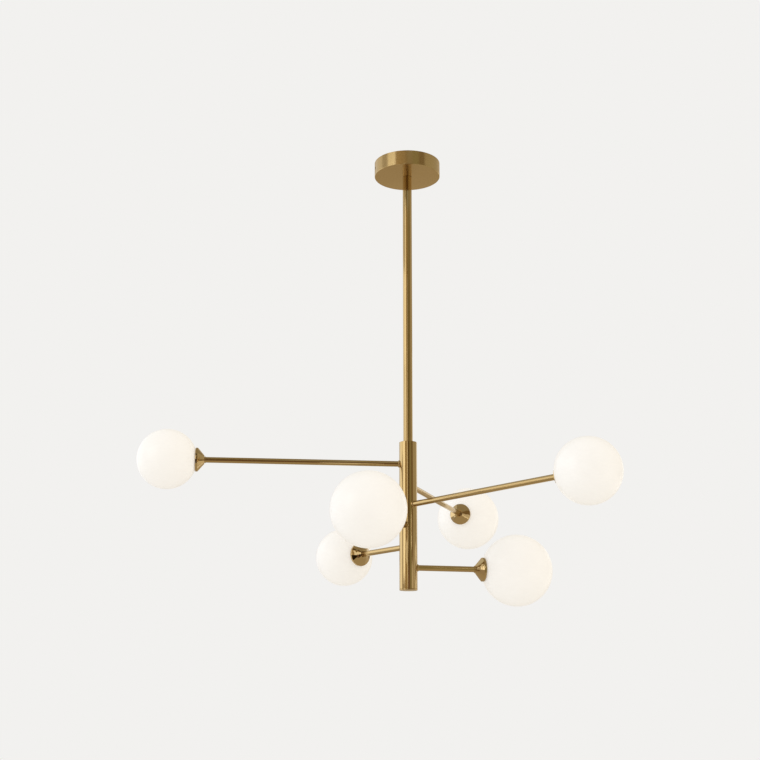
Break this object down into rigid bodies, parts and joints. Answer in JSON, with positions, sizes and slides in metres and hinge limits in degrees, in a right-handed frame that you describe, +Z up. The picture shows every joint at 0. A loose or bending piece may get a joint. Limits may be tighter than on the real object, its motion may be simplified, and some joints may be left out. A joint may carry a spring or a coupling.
{
  "type": "branch chandelier",
  "caption": "Ceiling chandelier with a round canopy, a straight stem and a column of horizontal arms, each ending in a cup and an opal glass globe.",
  "frame": {"origin": "centre of the two ceiling slots, on the stem's axis in the ceiling plane", "axes": "+Z up, towards the ceiling; +X along the line of the ceiling slots; the pictured side faces -Y"},
  "size_m": [0.7098, 0.8218, 0.7865],
  "materials": {
    "satin_brass": "brushed along its length and lacquered, satin",
    "polished_brass": "polished and lacquered",
    "turned_brass": "as turned, bare",
    "zinc_steel": "bright zinc plated",
    "white_nylon": "moulded nylon",
    "wire_cover": "smooth insulation in several colours",
    "lamp_ceramic": "white fired ceramic with a thin glaze",
    "soft_ring": "translucent silicone",
    "bulb_glass": "frosted glass on a ceramic base",
    "opal_glass": "blown opal glass, smooth and glossy outside"
  },
  "bodies": {
    "base": {"ceiling_bracket": "zinc_steel", "hanger_nipple": "zinc_steel", "nipple_nuts": "zinc_steel", "terminal_block": "white_nylon", "terminal_screws": "zinc_steel", "earth_screw": "turned_brass", "canopy_leads": "wire_cover"},
    "canopy": {"canopy": "satin_brass", "canopy_side_screws": "zinc_steel"},
    "pendant": {"stem_tube": "satin_brass", "stem_bush": "turned_brass", "stem_cable": "wire_cover", "column_top_plug": "satin_brass", "stem_ring_nut": "turned_brass", "column_tube": "satin_brass", "column_bottom_cap": "satin_brass", "junction_block": "white_nylon", "arm_tube_1": "satin_brass", "arm_tube_2": "satin_brass", "arm_tube_3": "satin_brass", "arm_tube_4": "satin_brass", "arm_tube_5": "satin_brass", "arm_tube_6": "satin_brass", "arm_collar_1": "polished_brass", "arm_collar_2": "polished_brass", "arm_collar_3": "polished_brass", "arm_collar_4": "polished_brass", "arm_collar_5": "polished_brass", "arm_collar_6": "polished_brass", "arm_nuts": "turned_brass", "arm_wires": "wire_cover", "cup_1": "polished_brass", "cup_2": "polished_brass", "cup_3": "polished_brass", "cup_4": "polished_brass", "cup_5": "polished_brass", "cup_6": "polished_brass", "cup_nuts": "zinc_steel", "globe_gaskets": "soft_ring", "lamp_holder_1": "lamp_ceramic", "lamp_holder_2": "lamp_ceramic", "lamp_holder_3": "lamp_ceramic", "lamp_holder_4": "lamp_ceramic", "lamp_holder_5": "lamp_ceramic", "lamp_holder_6": "lamp_ceramic"},
    "globe_1": {"globe_1": "opal_glass"},
    "bulb_1": {"bulb_1": "bulb_glass"},
    "globe_2": {"globe_2": "opal_glass"},
    "bulb_2": {"bulb_2": "bulb_glass"},
    "globe_3": {"globe_3": "opal_glass"},
    "bulb_3": {"bulb_3": "bulb_glass"},
    "globe_4": {"globe_4": "opal_glass"},
    "bulb_4": {"bulb_4": "bulb_glass"},
    "globe_5": {"globe_5": "opal_glass"},
    "bulb_5": {"bulb_5": "bulb_glass"},
    "globe_6": {"globe_6": "opal_glass"},
    "bulb_6": {"bulb_6": "bulb_glass"}
  },
  "joints": [
    {"name": "canopy_slide", "type": "slide", "parent": "base", "child": "canopy", "axis": [0, 0, -1], "range_m": [0, 0.486]},
    {"name": "stem_turn", "type": "hinge", "parent": "base", "child": "pendant", "pos_m": [0, 0, -0.02], "axis": [0, 0, 1], "range_deg": [-175, 175]},
    {"name": "globe_1_draw", "type": "slide", "parent": "pendant", "child": "globe_1", "axis": [-0.9962, 0.0872, 0], "range_m": [0, 0.066]},
    {"name": "bulb_1_pull", "type": "slide", "parent": "pendant", "child": "bulb_1", "axis": [-0.9962, 0.0872, 0], "range_m": [0, 0.012]},
    {"name": "globe_2_draw", "type": "slide", "parent": "pendant", "child": "globe_2", "axis": [0.4848, 0.8746, 0], "range_m": [0, 0.066]},
    {"name": "bulb_2_pull", "type": "slide", "parent": "pendant", "child": "bulb_2", "axis": [0.4848, 0.8746, 0], "range_m": [0, 0.012]},
    {"name": "globe_3_draw", "type": "slide", "parent": "pendant", "child": "globe_3", "axis": [0.4695, -0.8829, 0], "range_m": [0, 0.066]},
    {"name": "bulb_3_pull", "type": "slide", "parent": "pendant", "child": "bulb_3", "axis": [0.4695, -0.8829, 0], "range_m": [0, 0.012]},
    {"name": "globe_4_draw", "type": "slide", "parent": "pendant", "child": "globe_4", "axis": [-0.515, -0.8572, 0], "range_m": [0, 0.066]},
    {"name": "bulb_4_pull", "type": "slide", "parent": "pendant", "child": "bulb_4", "axis": [-0.515, -0.8572, 0], "range_m": [0, 0.012]},
    {"name": "globe_5_draw", "type": "slide", "parent": "pendant", "child": "globe_5", "axis": [-0.4305, 0.9026, 0], "range_m": [0, 0.066]},
    {"name": "bulb_5_pull", "type": "slide", "parent": "pendant", "child": "bulb_5", "axis": [-0.4305, 0.9026, 0], "range_m": [0, 0.012]},
    {"name": "globe_6_draw", "type": "slide", "parent": "pendant", "child": "globe_6", "axis": [0.9998, 0.0175, 0], "range_m": [0, 0.066]},
    {"name": "bulb_6_pull", "type": "slide", "parent": "pendant", "child": "bulb_6", "axis": [0.9998, 0.0175, 0], "range_m": [0, 0.012]}
  ]
}
